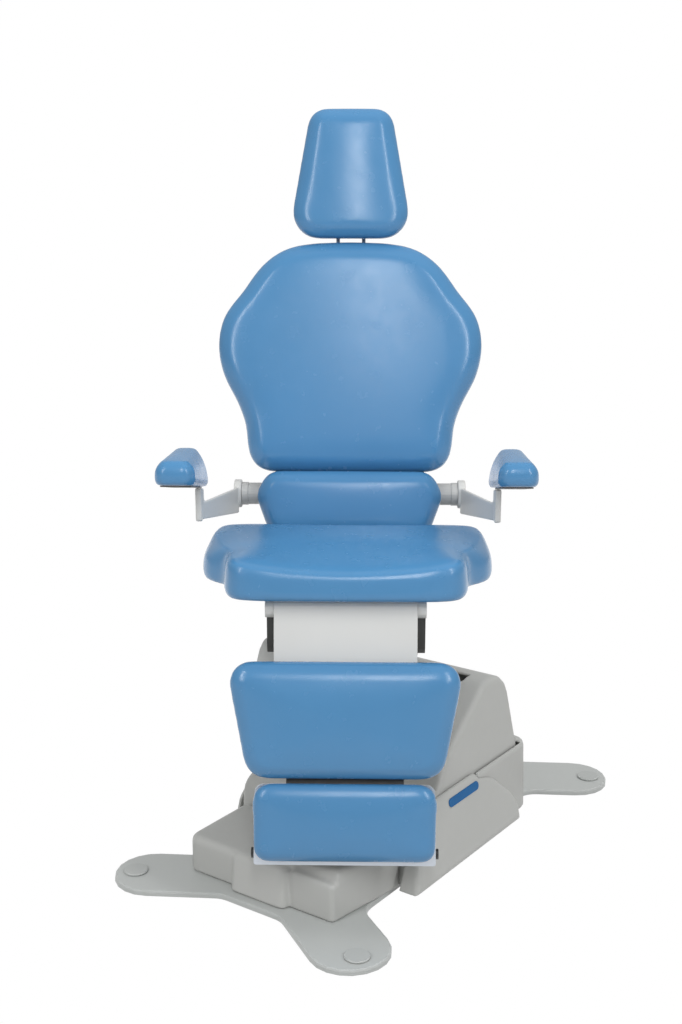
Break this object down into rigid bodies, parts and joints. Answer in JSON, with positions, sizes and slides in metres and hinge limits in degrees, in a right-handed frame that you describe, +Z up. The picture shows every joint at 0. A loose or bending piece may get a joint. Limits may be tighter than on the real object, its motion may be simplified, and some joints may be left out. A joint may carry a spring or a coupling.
{
  "type": "ear nose and throat examination chair",
  "caption": "Upholstered examination chair on a covered lifting base: swivelling seat, reclining back with swing-up arm rests, sliding head rest, and a leg rest with a folding foot rest.",
  "frame": {"origin": "on the floor, where the swivel axis meets it", "axes": "+Z up, -Y the way the sitter faces, +X to the right in the picture (the sitter's left)"},
  "size_m": [0.9691, 1.068, 1.3774],
  "materials": {
    "upholstery": "satin blue vinyl over foam",
    "cover": "fine-grained grey moulding",
    "floor_steel": "satin grey paint",
    "cap_plastic": "satin grey",
    "light_panel": "satin light grey paint",
    "arm_metal": "satin grey paint",
    "hub_metal": "satin grey paint",
    "dark_steel": "satin dark paint",
    "zinc_steel": "zinc plated",
    "bar_metal": "anodised",
    "strip_metal": "anodised",
    "black_plastic": "matt black",
    "label_blue": "plain glossy blue",
    "supply_case": "plain steel case"
  },
  "bodies": {
    "base": {"floor_plate": "floor_steel", "fixing_cap_front_left": "cap_plastic", "fixing_cap_front_right": "cap_plastic", "fixing_cap_rear_left": "cap_plastic", "fixing_cap_rear_right": "cap_plastic", "front_cover": "cover", "control_box": "black_plastic", "tower_cover": "cover", "power_supply": "supply_case", "rear_cover": "cover", "mains_inlet": "black_plastic", "side_box": "cover", "label_plate": "label_blue", "column_outer": "floor_steel", "lift_screw": "zinc_steel"},
    "column": {"column_inner": "floor_steel", "lift_drive": "dark_steel", "column_head": "cover", "swivel_ring_lower": "zinc_steel"},
    "seat": {"swivel_ring_upper": "zinc_steel", "carriage_plate": "dark_steel", "carriage_side_left": "dark_steel", "carriage_side_right": "dark_steel", "hinge_ear_left": "light_panel", "hinge_ear_right": "light_panel", "legrest_shaft": "zinc_steel", "recline_shaft": "zinc_steel", "recline_motor": "black_plastic", "legrest_motor": "black_plastic", "seat_pan": "dark_steel", "seat_cushion": "upholstery"},
    "back": {"back_cushion": "upholstery", "back_shell": "cover", "lumbar_cushion": "upholstery", "lumbar_plate": "dark_steel", "back_upright_left": "dark_steel", "back_upright_right": "dark_steel", "arm_cross_tube": "hub_metal", "headrest_guide": "cover"},
    "head_slider": {"headrest_bar": "bar_metal"},
    "headrest": {"headrest_cushion": "upholstery", "headrest_plate": "dark_steel", "headrest_cheek_left": "bar_metal", "headrest_cheek_right": "bar_metal", "headrest_pin": "zinc_steel"},
    "arm_left": {"arm_bracket_left": "arm_metal", "arm_board_left": "dark_steel", "arm_cushion_left": "upholstery"},
    "arm_right": {"arm_bracket_right": "arm_metal", "arm_board_right": "dark_steel", "arm_cushion_right": "upholstery"},
    "legrest": {"legrest_barrel": "zinc_steel", "legrest_panel": "light_panel", "calf_board": "dark_steel", "calf_cushion": "upholstery", "legrest_carrier": "dark_steel", "footrest_rod": "black_plastic"},
    "footrest": {"footrest_plate": "strip_metal", "footrest_cushion": "upholstery"}
  },
  "joints": [
    {"name": "lift", "type": "slide", "parent": "base", "child": "column", "axis": [0, 0, 1], "range_m": [0, 0.2]},
    {"name": "swivel", "type": "hinge", "parent": "column", "child": "seat", "pos_m": [0, 0, 0.4533], "axis": [0, 0, 1], "range_deg": [-124, 55]},
    {"name": "recline", "type": "hinge", "parent": "seat", "child": "back", "pos_m": [0, 0.2, 0.53], "axis": [-1, 0, 0], "range_deg": [0, 70]},
    {"name": "headrest_height", "type": "slide", "parent": "back", "child": "head_slider", "axis": [0, 0.1908, 0.9816], "range_m": [0, 0.12]},
    {"name": "headrest_tilt", "type": "hinge", "parent": "head_slider", "child": "headrest", "pos_m": [0, 0.39033, 1.16536], "axis": [-1, 0, 0], "range_deg": [0, 35]},
    {"name": "arm_left_swing", "type": "hinge", "parent": "back", "child": "arm_left", "pos_m": [-0.2165, 0.24658, 0.6381], "axis": [-1, 0, 0], "range_deg": [0, 90]},
    {"name": "arm_right_swing", "type": "hinge", "parent": "back", "child": "arm_right", "pos_m": [0.2165, 0.24658, 0.6381], "axis": [-1, 0, 0], "range_deg": [0, 90]},
    {"name": "legrest_raise", "type": "hinge", "parent": "seat", "child": "legrest", "pos_m": [0, -0.195, 0.545], "axis": [-1, 0, 0], "range_deg": [0, 75]},
    {"name": "footrest_fold", "type": "hinge", "parent": "legrest", "child": "footrest", "pos_m": [0, -0.28912, 0.13562], "axis": [1, 0, 0], "range_deg": [0, 90]}
  ],
  "couplings": [
    {"joint": "legrest_raise", "follows": "recline", "ratio": 1.0714}
  ]
}
